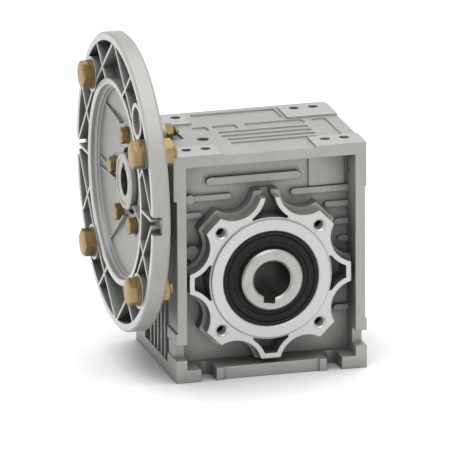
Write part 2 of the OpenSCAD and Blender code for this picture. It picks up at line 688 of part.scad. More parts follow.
module cage(ri, ro, w, n) {
    m = race_mid(ri, ro);
    b = ball_r(ri, ro, w);
    difference() {
        rotate_extrude() translate([m - 0.28 * b, w / 2 - 1.25 * b]) square([0.56 * b, 2.5 * b]);
        for (i = [0:n - 1]) rotate(360 * i / n) translate([m - b, 0, w / 2]) rotate([0, 90, 0])
            cylinder(r = b + 0.15, h = 2 * b);
    }
}
steel = [0.75, 0.75, 0.76];
module at_front() translate([0, -hub_half, 0]) rotate([90, 0, 0]) children();
module at_rear() translate([0, hub_half, 0]) rotate([-90, 0, 0]) children();
module at_input() translate([input_bearing_x, 0, worm_z]) rotate([0, 90, 0]) children();
module at_tail() translate([tail_bearing_x, 0, worm_z]) rotate([0, 90, 0]) children();
input_ri = input_bearing_d / 2;
module front_outer_ring() color(steel) at_front() outer_ring(out_shaft_r, out_outer_r, output_bearing_w);
module front_inner_ring() color(steel) at_front() inner_ring(out_shaft_r, out_outer_r, output_bearing_w);
module front_balls() color(steel) at_front() balls(out_shaft_r, out_outer_r, output_bearing_w, output_balls);
module front_cage() color("tan") at_front() cage(out_shaft_r, out_outer_r, output_bearing_w, output_balls);
module rear_outer_ring() color(steel) at_rear() outer_ring(out_shaft_r, out_outer_r, output_bearing_w);
module rear_inner_ring() color(steel) at_rear() inner_ring(out_shaft_r, out_outer_r, output_bearing_w);
module rear_balls() color(steel) at_rear() balls(out_shaft_r, out_outer_r, output_bearing_w, output_balls);
module rear_cage() color("tan") at_rear() cage(out_shaft_r, out_outer_r, output_bearing_w, output_balls);
module input_outer_ring() color(steel) at_input() outer_ring(input_ri, input_outer_r, input_bearing_w);
module input_inner_ring() color(steel) at_input() inner_ring(input_ri, input_outer_r, input_bearing_w);
input_ball_count = 16;
tail_ball_count = 8;
module input_balls() color(steel) at_input() balls(input_ri, input_outer_r, input_bearing_w, input_ball_count);
module input_cage() color("tan") at_input() cage(input_ri, input_outer_r, input_bearing_w, input_ball_count);
module tail_outer_ring() color(steel) at_tail() outer_ring(tail_r, tail_outer_r, tail_bearing_w);
module tail_inner_ring() color(steel) at_tail() inner_ring(tail_r, tail_outer_r, tail_bearing_w);
module tail_balls() color(steel) at_tail() balls(tail_r, tail_outer_r, tail_bearing_w, tail_ball_count);
module tail_cage() color("tan") at_tail() cage(tail_r, tail_outer_r, tail_bearing_w, tail_ball_count);

// seals, clips and caps
module lip_seal(ro, ri, w) {
    rotate_extrude() polygon([[ri + run_gap, 1.2], [ri + 2.2, 0.5], [ri + 4, 0.9], [ri + 4.4, 0.2],
        [ro - 3.2, 0.2], [ro - 2.8, 0.9], [ro - 2.4, 0], [ro - seat_gap - 0.4, 0], [ro - seat_gap, 0.4],
        [ro - seat_gap, w], [ro - 2.2, w], [ro - 2.2, 2.6], [ri + 3.2, 2.6], [ri + 2.4, w - 1],
        [ri + 1, w - 1], [ri + run_gap, w - 2.5], [ri + 0.7, 2.6]]);
}
module front_seal() color([0.1, 0.1, 0.11]) translate([0, -ring_y + 0.5, 0]) rotate([-90, 0, 0])
    lip_seal(output_seal_od / 2, output_hub_d / 2, output_seal_w);
module rear_seal() color([0.1, 0.1, 0.11]) translate([0, ring_y - 0.5, 0]) rotate([90, 0, 0])
    lip_seal(output_seal_od / 2, output_hub_d / 2, output_seal_w);
module input_seal() color([0.1, 0.1, 0.11]) translate([seal_x0, 0, worm_z]) rotate([0, 90, 0])
    rotate_extrude() polygon([[input_hub_d / 2 + run_gap, 1], [input_hub_d / 2 + 1, 0.4],
        [input_outer_r - 2, 0.4], [input_outer_r - 1.5, 0], [input_outer_r, 0],
        [input_outer_r, input_seal_w], [input_outer_r - 1.6, input_seal_w], [input_outer_r - 1.6, 2.4],
        [input_hub_d / 2 + 2, 2.4], [input_hub_d / 2 + 1.4, input_seal_w - 1.2],
        [input_hub_d / 2 + run_gap, input_seal_w - 2]]);
// open snap ring in a bore of radius r
module snap_ring(r) {
    linear_extrude(circlip_t) difference() {
        circle(r = r + clip_in);
        circle(r = r - 1.8);
        translate([0, -4]) square([r + 2, 8]);
    }
}
module input_circlip() color([0.3, 0.3, 0.31]) translate([input_clip_x + 0.02, 0, worm_z])
    rotate([0, 90, 0]) snap_ring(input_outer_r);
module tail_circlip() color([0.3, 0.3, 0.31]) translate([tail_clip_x + 0.02, 0, worm_z])
    rotate([0, 90, 0]) snap_ring(tail_outer_r);
module tail_cap() color([0.1, 0.1, 0.11]) translate([0, 0, 0]) turn_x() polygon([
    [0, half_w - 3.4], [tail_outer_r - 3, half_w - 3.4], [tail_outer_r - 2.2, half_w - 0.6],
    [tail_outer_r - 0.4, half_w - 0.6], [tail_outer_r, half_w - 1], [tail_outer_r, tail_cap_x],
    [tail_outer_r - 2, tail_cap_x], [tail_outer_r - 2, half_w - 5.4], [0, half_w - 5.4]]);

// motor flange
pocket_in_r = flange_pilot_d / 2 + pilot_land;
pocket_out_r = flange_d / 2 - rim_land;
// a straight rib from polar place a to polar place b, drawn on the flange
module rib_line(r1, a1, r2, a2, t) {
    p = [-r1 * cos(a1), r1 * sin(a1)];
    q = [-r2 * cos(a2), r2 * sin(a2)];
    u = (q - p) / norm(q - p) * t / 2;
    v = [-u.y, u.x];
    polygon([p + v, p - v, q - v, q + v]);
}
module rib_web() {
    intersection() {
        difference() {
            circle(r = pocket_out_r + 0.5);
            circle(r = pocket_in_r - 0.5);
        }
        union() {
            for (k = [0:3], s = [-1, 1]) {
                rib_line(pocket_out_r + 1, 90 * k + s * 1, pocket_in_r + 5, 90 * k + s * 47, flange_rib_t);
                rib_line(pocket_out_r + 1, 90 * k + s * 27.5, pocket_in_r - 3, 90 * k + s * 17, flange_rib_t);
            }
            for (k = [0, 2]) rib_line(pocket_out_r + 1, 90 * k, pocket_in_r - 2, 90 * k, flange_rib_t);
        }
    }
}
module motor_flange() {
    pr = flange_pilot_d / 2;
    fr = flange_d / 2;
    color([0.74, 0.74, 0.72]) difference() {
        union() {
            turn_x() polygon([[flange_bore_r, dish_x], [pr - 3, flange_x + 7.5], [pr - 3, flange_x + 6],
                [pr - 1.6, flange_x + 6], [pr - 1.6, flange_x + pilot_depth], [pr, flange_x + pilot_depth],
                [pr, flange_x + 0.6], [pr + 0.6, flange_x], [pocket_in_r, flange_x],
                [pocket_in_r, pocket_floor_x], [pocket_out_r, pocket_floor_x], [pocket_out_r, flange_x],
                [fr - 1.2, flange_x], [fr, flange_x + 1.2], [fr, rim_back_x - 1.5], [fr - 1.5, rim_back_x],
                [pr - 4, rim_back_x], [flange_hub_r + 4, rim_back_x + 5],
                [flange_hub_r, rim_back_x + 9], [flange_hub_r, side_x - 0.5],
                [flange_bore_r, side_x - 0.5]]);
            slab_x(flange_x, pocket_floor_x + past) translate([0, worm_z]) rib_web();
            for (a = flange_bolt_angles) on_flange(flange_circle_d / 2, a)
                bar_x(boss_r, flange_x, pocket_floor_x + past);
            on_flange(flange_circle_d / 2, extra_bolt_angle) bar_x(m10_washer_r, flange_x, pocket_floor_x + past);
            for (q = dish_ribs) slab_x(flange_x + 6.4, dish_x + past) translate([0, worm_z])
                rib_line(q[0], q[1], pr - 4, q[2], 1.7);
            for (a = screw_angles) on_flange(flange_screw_r, a)
                bar_x(7.5, dish_x - 0.8, side_x - 0.5);
        }
        for (a = flange_bolt_angles) on_flange(flange_circle_d / 2, a) {
            bar_x(flange_hole_d / 2, flange_x - past, rim_back_x + past);
            bar_x(sink_r, flange_x - past, flange_x + sink_depth);
        }
        on_flange(flange_circle_d / 2, extra_bolt_angle)
            bar_x(flange_hole_d / 2, flange_x - past, rim_back_x + past);
        for (a = screw_angles) on_flange(flange_screw_r, a) {
            bar_x(m6_r + 0.3, flange_x, side_x + past);
            bar_x(7.5, flange_x, dish_x - 0.8);
        }
        translate([0, 0, worm_z]) bar_x(flange_bore_r, flange_x, side_x + past);
        for (s = [-1, 1]) box([flange_x - past, s > 0 ? fr - 7 : -fr - past, worm_z - notch_drop - notch_w / 2],
            [flange_x + notch_depth, s > 0 ? fr + past : -fr + 7, worm_z - notch_drop + notch_w / 2]);
    }
}
module flange_gasket() {
    color([0.25, 0.25, 0.24]) difference() {
        slab_x(side_x - 0.5, side_x) translate([0, worm_z]) circle(r = flange_hub_r);
        translate([0, 0, worm_z]) bar_x(input_outer_r + 0.5, side_x - past, side_x + past);
        for (a = screw_angles) on_flange(flange_screw_r, a) bar_x(m6_r + 0.3, side_x - past, side_x + past);
    }
}
// hexagonal head or nut along X, from x = a to x = b, with a corner down at turn 0
module hex_x(af, a, b, turn = 0) translate([a, 0, 0]) rotate([0, 90, 0])
    rotate(turn) cylinder(r = af / sqrt(3), h = b - a, $fn = 6);
module flange_screws() {
    face = dish_x - 0.8 - m6_washer_t;
    color([0.80, 0.66, 0.36]) for (i = [0:3]) on_flange(flange_screw_r, screw_angles[i]) {
        hex_x(m6_af, face - m6_head_h, face);
        bar_x(m6_r - seat_gap, face - 0.5, side_x + screw_reach[i]);
    }
}
module flange_washers() {
    color([0.78, 0.70, 0.50]) for (a = screw_angles) on_flange(flange_screw_r, a) difference() {
        bar_x(m6_washer_r, dish_x - 0.8 - m6_washer_t, dish_x - 0.8);
        bar_x(m6_r + 0.1, flange_x, side_x);
        box([dish_x - 0.8 - m6_washer_t - past, -0.7, 0], [dish_x, 0.7, m6_washer_r + past]);
    }
}
module flange_nut() {
    color([0.80, 0.66, 0.36]) on_flange(flange_screw_r, screw_angles[0]) difference() {
        hex_x(m6_af, side_x + 7, side_x + 12, 30);
        bar_x(m6_r + 0.01, side_x, side_x + 20);
    }
}
module motor_bolts() {
    face = flange_x - m10_washer_t;
    color([0.80, 0.66, 0.36]) for (a = fitted_bolt_angles) on_flange(flange_circle_d / 2, a) {
        hex_x(m10_af, face - m10_head_h, face, a > 100 && a < 260 ? 30 : 0);
        bar_x(m10_r - seat_gap, face - 0.5, rim_back_x + m10_nut_h + 3);
    }
}
module motor_washers() {
    color([0.82, 0.72, 0.48]) for (a = fitted_bolt_angles) on_flange(flange_circle_d / 2, a) difference() {
        bar_x(m10_washer_r, flange_x - m10_washer_t, flange_x);
        bar_x(m10_r + 0.25, flange_x - 5, flange_x + past);
    }
}
module motor_nuts() {
    color([0.80, 0.66, 0.36]) for (a = fitted_bolt_angles) on_flange(flange_circle_d / 2, a) difference() {
        hex_x(m10_af, rim_back_x, rim_back_x + m10_nut_h);
        bar_x(m10_r + 0.01, rim_back_x - past, rim_back_x + m10_nut_h + past);
    }
}
module oil_plug() {
    color([0.25, 0.25, 0.26]) translate([plug_x, plug_y, rail_z - 7]) difference() {
        cylinder(r = plug_r, h = 5);
        translate([0, 0, 2]) cylinder(r = 2.3, h = 4, $fn = 6);
    }
}

housing();
output_cover();
cover_screws();
cover_o_ring();
output_shaft();
wheel_rim();
worm_shaft();
worm_thread();
front_outer_ring();
front_inner_ring();
front_balls();
front_cage();
rear_outer_ring();
rear_inner_ring();
rear_balls();
rear_cage();
input_outer_ring();
input_inner_ring();
input_balls();
input_cage();
tail_outer_ring();
tail_inner_ring();
tail_balls();
tail_cage();
front_seal();
rear_seal();
input_seal();
input_circlip();
tail_circlip();
tail_cap();
motor_flange();
flange_gasket();
flange_screws();
flange_washers();
flange_nut();
motor_bolts();
motor_washers();
motor_nuts();
oil_plug();
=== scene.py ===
import json
import math

import bpy
from bpy.props import FloatProperty, FloatVectorProperty, PointerProperty
from mathutils import Euler, Matrix, Vector


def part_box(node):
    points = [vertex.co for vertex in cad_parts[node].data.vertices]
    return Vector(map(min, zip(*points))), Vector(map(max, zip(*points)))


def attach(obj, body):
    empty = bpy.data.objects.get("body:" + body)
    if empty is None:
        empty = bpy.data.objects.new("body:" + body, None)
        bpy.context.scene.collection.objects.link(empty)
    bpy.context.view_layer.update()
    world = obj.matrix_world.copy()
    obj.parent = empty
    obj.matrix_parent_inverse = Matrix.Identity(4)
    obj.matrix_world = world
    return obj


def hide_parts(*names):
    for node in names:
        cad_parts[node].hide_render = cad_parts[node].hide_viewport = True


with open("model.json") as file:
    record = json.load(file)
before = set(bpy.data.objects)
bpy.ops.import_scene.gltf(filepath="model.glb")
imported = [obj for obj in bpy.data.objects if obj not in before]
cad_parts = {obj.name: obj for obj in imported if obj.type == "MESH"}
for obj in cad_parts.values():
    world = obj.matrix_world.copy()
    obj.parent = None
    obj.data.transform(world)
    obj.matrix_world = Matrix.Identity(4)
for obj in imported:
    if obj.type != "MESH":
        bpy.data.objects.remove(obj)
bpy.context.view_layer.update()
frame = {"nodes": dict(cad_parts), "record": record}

NODES = frame["nodes"]
MOUNTS = {mount["name"]: mount for mount in frame["record"]["mounts"]}

bl_info = {
    "name": "Worm Gear Reducer",
    "version": (1, 0, 0),
    "blender": (4, 5, 0),
    "location": "View3D > Sidebar > Reducer",
    "description": "Finishes, fasteners and studio for a worm gear reducer with a motor flange",
    "category": "Object",
}

MM = 0.001


def middle(node):
    low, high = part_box(node)
    return (Vector(low) + Vector(high)) / 2


def reach(node, axis, side):
    """Lowest (side 0) or highest (side 1) place of a node along an axis."""
    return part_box(node)[side][axis]


def mount_radius(name, size="r_mm"):
    return MOUNTS[name]["dims"][size] * MM


# heights and stations that the pieces and finishes are placed by, from the solids
WORM_Z = middle("worm_shaft").z
FOOT_Z = reach("housing", 2, 0)
PAD_Z = MOUNTS["pad_outer_holes"]["pos_m"][2]
FLANGE_FACE = reach("motor_flange", 0, 0)
WASHER_FACE = reach("motor_washers", 0, 0)
STAR_Y = MOUNTS["rear_star_holes"]["pos_m"][1]
RING_Y = reach("output_cover", 1, 1)
STAR_HOLES = mount_radius("rear_star_holes", "pcd_mm") / 2
PILOT_RING = mount_radius("rear_pilot_ring")
MOTOR_PILOT = mount_radius("motor_pilot")

# hexagon fasteners: across the flats, thread radius and depth, bevels of the head and the nut
M10 = {"flats": 17 * MM, "radius": 5 * MM, "depth": 0.8 * MM, "head": 1.1 * MM, "nut": 1.0 * MM}
M6 = {"flats": 10 * MM, "radius": 3 * MM, "depth": 0.5 * MM, "head": 0.7 * MM, "nut": 0.6 * MM}
M6_PITCH = 1.0 * MM

# solved from the photograph's edges and circles: place in metres, Euler angles in degrees
CAMERA_PLACE = (-1.78119, -6.45122, 2.04654)
CAMERA_TURN = (73.1577, 0.3218, -15.4021)
CAMERA_LENS = 830.89


class Wire:
    """A socket that can be used in an expression; each sum or product adds its Math node."""

    def __init__(self, graph, socket):
        self.graph = graph
        self.socket = socket

    def math(self, kind, *others, clamp=False):
        made = self.graph.node("ShaderNodeMath", {"operation": kind, "use_clamp": clamp})
        for place, value in enumerate((self,) + others):
            self.graph.join(value, made.socket.node.inputs[place])
        return made

    def __add__(self, other):
        return self.math("ADD", other)

    __radd__ = __add__

    def __mul__(self, other):
        return self.math("MULTIPLY", other)

    __rmul__ = __mul__

    def __sub__(self, other):
        return self.math("SUBTRACT", other)

    def __rsub__(self, other):
        return (self * -1.0).math("ADD", other)

    def __abs__(self):
        return self.math("ABSOLUTE")

    def sine(self):
        return self.math("SINE")

    def root(self):
        return self.math("SQRT")

    def above(self, value):
        return self.math("GREATER_THAN", value)

    def below(self, value):
        return self.math("LESS_THAN", value)

    def unit(self):
        return self.math("ADD", 0.0, clamp=True)

    def step(self, low, high):
        """0 below low, 1 above high, smooth between."""
        return self.graph.node("ShaderNodeMapRange", {"interpolation_type": "SMOOTHSTEP"},
                               Value=self, From_Min=low, From_Max=high)


# places of the factor, the two colours and the result on a Mix node that mixes colours
MIX_FACTOR, MIX_FIRST, MIX_SECOND, MIX_RESULT = 0, 6, 7, 2


class Graph:
    """A node tree, whose nodes all come from one method."""

    def __init__(self, tree):
        self.tree = tree

    def join(self, value, socket):
        if isinstance(value, Wire):
            self.tree.links.new(value.socket, socket)
        else:
            socket.default_value = value

    def node(self, kind, settings=None, output=0, **values):
        """Any node by its type, with its settings and then its sockets, as one of its outputs."""
        made = self.tree.nodes.new(kind)
        for name, value in (settings or {}).items():
            if name == "stops":
                ramp = made.color_ramp
                while len(ramp.elements) < len(value):
                    ramp.elements.new(0.5)
                for stop, (at, shade) in zip(ramp.elements, value):
                    stop.position = at
                    stop.color = (*shade, 1.0)
            else:
                setattr(made, name, value)
        for name, value in values.items():
            self.join(value, made.inputs[name.replace("_", " ")])
        return Wire(self, made.outputs[output])

    def blend(self, amount, first, second):
        """A mix of two colours, each a socket or three numbers."""
        made = self.node("ShaderNodeMix", {"data_type": "RGBA"}, MIX_RESULT)
        sockets = made.socket.node.inputs
        self.join(amount, sockets[MIX_FACTOR])
        for place, value in ((MIX_FIRST, first), (MIX_SECOND, second)):
            self.join(value if isinstance(value, Wire) else (*value, 1.0), sockets[place])
        return made

    def backdrop_rays(self):
        """1 for rays that look at the background: from the camera, off metal, through glass."""
        camera, glossy, through = (
            self.node("ShaderNodeLightPath", None, kind)
            for kind in ("Is Camera Ray", "Is Glossy Ray", "Is Transmission Ray"))
        return (camera + glossy + through).unit()


class Finish(Graph):
    """One material, with a Principled shader whose sockets are filled by name."""

    def __init__(self, name, metallic=1.0, roughness=0.5, color=(0.6, 0.6, 0.6)):
        self.material = bpy.data.materials.new(name)
        self.material.use_nodes = True
        super().__init__(self.material.node_tree)
        self.shader = self.tree.nodes["Principled BSDF"]
        self.shader.inputs["Metallic"].default_value = metallic
        self.shader.inputs["Roughness"].default_value = roughness
        self.shader.inputs["Base Color"].default_value = (*color, 1.0)
        self.place = self.node("ShaderNodeTexCoord", None, "Object")
        split = self.node("ShaderNodeSeparateXYZ", Vector=self.place).socket.node
        self.x, self.y, self.z = (Wire(self, split.outputs[axis]) for axis in "XYZ")

    def noise(self, scale, detail=3.0, rough=0.55, stretch=None):
        where = self.place
        if stretch:
            where = self.node("ShaderNodeMapping", Vector=where, Scale=stretch)
        return self.node("ShaderNodeTexNoise", Vector=where, Scale=scale, Detail=detail,
                         Roughness=rough)

    def hollow(self, distance):
        """How open a place is, used for painted shade and painted shadow: 0 deep in a corner or
        pocket, 1 in the open.
        """
        return self.node("ShaderNodeAmbientOcclusion", {"samples": 8, "only_local": False}, 1,
                         Distance=distance)

    def ring(self, axis, at=0.0):
        """Distance from the output axis (axis Y) or from the worm axis (axis X)."""
        across = self.x if axis == "Y" else self.y
        up = self.z - at if at else self.z
        return (across * across + up * up).root()

    def near(self, value, at, width):
        """1 where the value lies within width of at."""
        return abs(value - at).below(width)

    def set(self, **values):
        for name, value in values.items():
            self.join(value, self.shader.inputs[name.replace("_", " ")])

    def bump(self, height, strength, distance, edge=0.0):
        """Small relief; with edge above 0 the corners are rounded to that radius as well."""
        values = {"Height": height, "Strength": strength, "Distance": distance}
        if edge:
            values["Normal"] = self.node("ShaderNodeBevel", {"samples": 6}, Radius=edge)
        self.set(Normal=self.node("ShaderNodeBump", **values))


def put(material, *names):
    """Gives CAD nodes a material in place of their own."""
    for name in names:
        slots = NODES[name].material_slots
        if not slots:
            NODES[name].data.materials.append(material)
        for slot in slots:
            slot.material = material


def clear_selection():
    if bpy.context.object and bpy.context.object.mode != "OBJECT":
        bpy.ops.object.mode_set(mode="OBJECT")
    bpy.ops.object.select_all(action="DESELECT")


def turned(name, profile, origin, axis, steps=32):
    """A closed turned piece: the profile (radius, along) is drawn point by point, then spun."""
    clear_selection()
    along = Vector(axis).normalized()
    across = Vector((0, 0, 1)) if abs(along.z) < 0.9 else Vector((1, 0, 0))
    at = [Vector(origin) + across * r + along * a for r, a in profile]
    bpy.ops.mesh.primitive_plane_add(size=MM, location=at[0])
    piece = bpy.context.object
    piece.name = name
    bpy.ops.object.mode_set(mode="EDIT")
    bpy.ops.mesh.select_all(action="SELECT")
    bpy.ops.mesh.merge(type="CENTER")
    for before, after in zip(at, at[1:]):
        bpy.ops.mesh.extrude_vertices_move(TRANSFORM_OT_translate={"value": after - before})
    bpy.ops.mesh.select_all(action="SELECT")
    bpy.ops.mesh.spin(steps=steps, angle=2 * math.pi, center=origin, axis=along)
    bpy.ops.mesh.select_all(action="SELECT")
    bpy.ops.mesh.remove_doubles(threshold=0.01 * MM)
    bpy.ops.mesh.normals_make_consistent(inside=False)
    bpy.ops.object.mode_set(mode="OBJECT")
    return piece


def settle(piece, angle=0.5):
    """Puts the piece's place into its mesh and smooths all but its sharp edges."""
    clear_selection()
    piece.select_set(True)
    bpy.context.view_layer.objects.active = piece
    bpy.ops.object.transform_apply(location=True, rotation=True, scale=True)
    bpy.ops.object.shade_smooth_by_angle(angle=angle)
    return piece


def joined(name, pieces):
    clear_selection()
    for piece in pieces:
        piece.select_set(True)
    bpy.context.view_layer.objects.active = pieces[0]
    bpy.ops.object.join()
    whole = bpy.context.object
    whole.name = name
    return settle(whole)


def hexagon(name, across, thick, origin, axis, turn, cut, both=False):
    """A hexagonal head or nut: a prism trimmed by a turned blank with bevelled ends."""
    corner = across / math.sqrt(3)
    rim = corner * 1.004
    shoulder = rim - 1.9 * cut
    skin = 0.02 * MM
    outer_end = [(rim, thick - cut), (shoulder, thick + skin), (0, thick + skin)]
    inner_end = [(0, -5 * skin), (rim, -5 * skin)]
    if both:
        inner_end = [(0, -skin), (shoulder, -skin), (rim, cut)]
    blank = turned(name + "_blank", inner_end + outer_end, origin, axis, 48)
    clear_selection()
    stand = Vector(axis).to_track_quat("Z", "Y") @ Euler((0, 0, turn)).to_quaternion()
    bpy.ops.mesh.primitive_cylinder_add(vertices=6, radius=corner, depth=thick,
                                        location=Vector(origin) + Vector(axis) * (thick / 2),
                                        rotation=stand.to_euler())
    prism = bpy.context.object
    prism.name = name
    trim = prism.modifiers.new("trim", "BOOLEAN")
    trim.operation = "INTERSECT"
    trim.object = blank
    trim.solver = "EXACT"
    bpy.context.view_layer.objects.active = prism
    bpy.ops.object.modifier_apply(modifier=trim.name)
    bpy.data.objects.remove(blank, do_unlink=True)
    return prism


def hex_turn(low, high):
    """The turn that lays a hexagon along the one whose box this is: corner up, or flat up."""
    return 0.0 if high.z - low.z > high.y - low.y else math.radians(30)


def thread_profile(radius, pitch, start, end, depth):
    """Radius and place along the axis of a screw's crests and roots, from start to end."""
    crest, flank = 0.12 * pitch, 0.44 * pitch
    points = [(0, start), (radius - depth, start)]
    at = start + pitch / 2
    while at + pitch / 2 <= end - pitch / 2:
        points += [(radius, at), (radius, at + crest), (radius - depth, at + crest + flank)]
        at += pitch
    return points + [(radius - depth * 1.2, end), (0, end)]


def solid_boxes(node):
    """Lowest and highest corner of each separate solid of a CAD node."""
    mesh = NODES[node].data
    corners = {}
    leader = {}

    def find(key):
        while leader[key] != key:
            leader[key] = leader[leader[key]]
            key = leader[key]
        return key

    for polygon in mesh.polygons:
        groups = []
        for index in polygon.vertices:
            place = mesh.vertices[index].co
            key = tuple(round(c, 5) for c in place)
            corners.setdefault(key, place.copy())
            leader.setdefault(key, key)
            groups.append(find(key))
        for group in groups[1:]:
            leader[find(group)] = find(groups[0])
    solids = {}
    for key, place in corners.items():
        solids.setdefault(find(key), []).append(place)
    return [(Vector([min(place[i] for place in places) for i in range(3)]),
             Vector([max(place[i] for place in places) for i in range(3)]))
            for places in solids.values()]


def from_first(boxes):
    """The moves that bring a fastener from the first box to each of the others."""
    first_low, first_high = boxes[0]
    away = Matrix.Translation(-(first_low + first_high) / 2)
    for low, high in boxes[1:]:
        turn = Matrix.Rotation(hex_turn(low, high) - hex_turn(first_low, first_high), 4, "X")
        yield Matrix.Translation((low + high) / 2) @ turn @ away


def repeated(pieces, moves):
    """The pieces, and a copy of them with meshes of their own for each move."""
    every = list(pieces)
    for move in moves:
        for piece in pieces:
            clear_selection()
            piece.select_set(True)
            bpy.context.view_layer.objects.active = piece
            bpy.ops.object.duplicate(linked=False)
            copy = bpy.context.object
            copy.matrix_basis = move @ piece.matrix_basis
            every.append(copy)
    return every


def hexagon_screws(name, node, seat, size, pitch, start):
    """Screws with a head on the seat and a threaded shank behind it, one for each solid."""
    lengths = {}
    for low, high in solid_boxes(node):
        lengths.setdefault(round(high.x - low.x, 5), []).append((low, high))
    screws = []
    for boxes in lengths.values():
        low, high = boxes[0]
        at = (seat, (low.y + high.y) / 2, (low.z + high.z) / 2)
        head = hexagon(name + "_head", size["flats"], seat - low.x, at, (-1, 0, 0),
                       hex_turn(low, high), size["head"])
        profile = thread_profile(size["radius"], pitch, start, high.x - seat, size["depth"])
        shank = turned(name + "_shank", profile, at, (1, 0, 0), 24)
        screws += repeated([head, shank], from_first(boxes))
    return screws


def hexagon_nuts(name, node, size):
    """Nuts, one for each solid of the node."""
    boxes = solid_boxes(node)
    low, high = boxes[0]
    at = (low.x, (low.y + high.y) / 2, (low.z + high.z) / 2)
    nut = hexagon(name, size["flats"], high.x - low.x, at, (1, 0, 0), hex_turn(low, high),
                  size["nut"], both=True)
    return repeated([nut], from_first(boxes))


def plated(name, pieces, node, zinc):
    """Joins plated fasteners into one piece that stands for their CAD node."""
    whole = joined(name, pieces)
    whole.data.materials.clear()
    whole.data.materials.append(zinc)
    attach(whole, "housing")
    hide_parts(node)


class ReducerLook(bpy.types.PropertyGroup):
    cast_color: FloatVectorProperty(name="Casting", description="Colour of the blasted aluminium",
                                    subtype="COLOR", default=(0.46, 0.465, 0.44), min=0, max=1)
    machined_color: FloatVectorProperty(name="Machined faces", subtype="COLOR", min=0, max=1,
                                        description="Colour of the faces cut by tools",
                                        default=(0.54, 0.54, 0.53))
    cast_roughness: FloatProperty(name="Casting roughness", description="How matt the castings are",
                                  default=0.52, min=0.1, max=1.0, subtype="FACTOR")
    edge_radius: FloatProperty(name="Edge radius", description="Rounding of the cast edges",
                               default=1.1 * MM, min=0.0, max=4 * MM, unit="LENGTH")
    zinc_color: FloatVectorProperty(name="Yellow zinc", description="Colour of the zinc plating",
                                    subtype="COLOR", default=(0.33, 0.23, 0.10), min=0, max=1)
    thread_pitch: FloatProperty(name="Thread pitch", description="Pitch of the bolts' threads",
                                default=1.5 * MM, min=0.5 * MM, max=3 * MM, unit="LENGTH")
    light_level: FloatProperty(name="Light level", description="Strength of the softboxes",
                               default=1.0, min=0.1, max=3.0, subtype="FACTOR")


class REDUCER_OT_castings(bpy.types.Operator):
    """Finish the housing, the cover and the motor flange as blasted aluminium castings"""
    bl_idname = "reducer.castings"
    bl_label = "Castings"

    def execute(self, context):
        look = context.scene.reducer_look
        cast = tuple(look.cast_color)
        cut = tuple(look.machined_color)
        thin, thinner = 0.3 * MM, 0.2 * MM
        star_reach, seal_bore, seal_depth = 68 * MM, 34.5 * MM, 30 * MM
        pilot_width, pilot_depth = 2.2 * MM, 6.5 * MM
        for name, nodes in (("cast_aluminium", ("housing", "output_cover")),
                            ("cast_aluminium_flange", ("motor_flange",))):
            f = Finish(name)
            grain = f.noise(1500.0, 2.0, 0.6)
            patches = f.noise(38.0, 3.0, 0.5)
            specks = f.noise(620.0, 2.0, 0.5)
            if name == "cast_aluminium":
                round_face = f.ring("Y")
                ring = f.near(abs(f.y), RING_Y, thin) * round_face.below(PILOT_RING + MM)
                star = f.near(abs(f.y), STAR_Y, thin) * round_face.below(star_reach)
                level = f.near(f.z, PAD_Z, thinner)
                bore = round_face.below(seal_bore) * abs(f.y).above(seal_depth)
                face = ring + star
                machined = (face + level + bore).unit()
            else:
                round_face = f.ring("X", WORM_Z)
                face = f.near(f.x, FLANGE_FACE, thinner)
                inner = (f.near(round_face, MOTOR_PILOT, pilot_width)
                         * f.x.below(FLANGE_FACE + pilot_depth))
                machined = (face + inner).unit()
            marks = (round_face * 9000.0).sine() * face
            wash = patches.step(0.35, 0.65)
            base = f.blend(wash * 0.4, cast, tuple(c * 0.84 for c in cast))
            base = f.blend(specks.step(0.58, 0.72) * 0.4, base, tuple(c * 0.66 for c in cast))
            base = f.blend(machined * 0.85, base, cut)
            # painted shade: the casting's colour falls to 0.42 of itself deep in pockets and
            # corners
            base = f.blend(f.hollow(22 * MM).step(0.15, 0.85), tuple(c * 0.42 for c in cast), base)
            f.set(Base_Color=base, Metallic=0.62 + machined * 0.33,
                  Roughness=(look.cast_roughness + (grain - 0.5) * 0.16) * (1 - machined * 0.28))
            f.bump(grain * (1 - machined * 0.8) + marks * 0.12 + patches * 0.5, 0.5, 0.24 * MM,
                   look.edge_radius)
            put(f.material, *nodes)
        return {"FINISHED"}


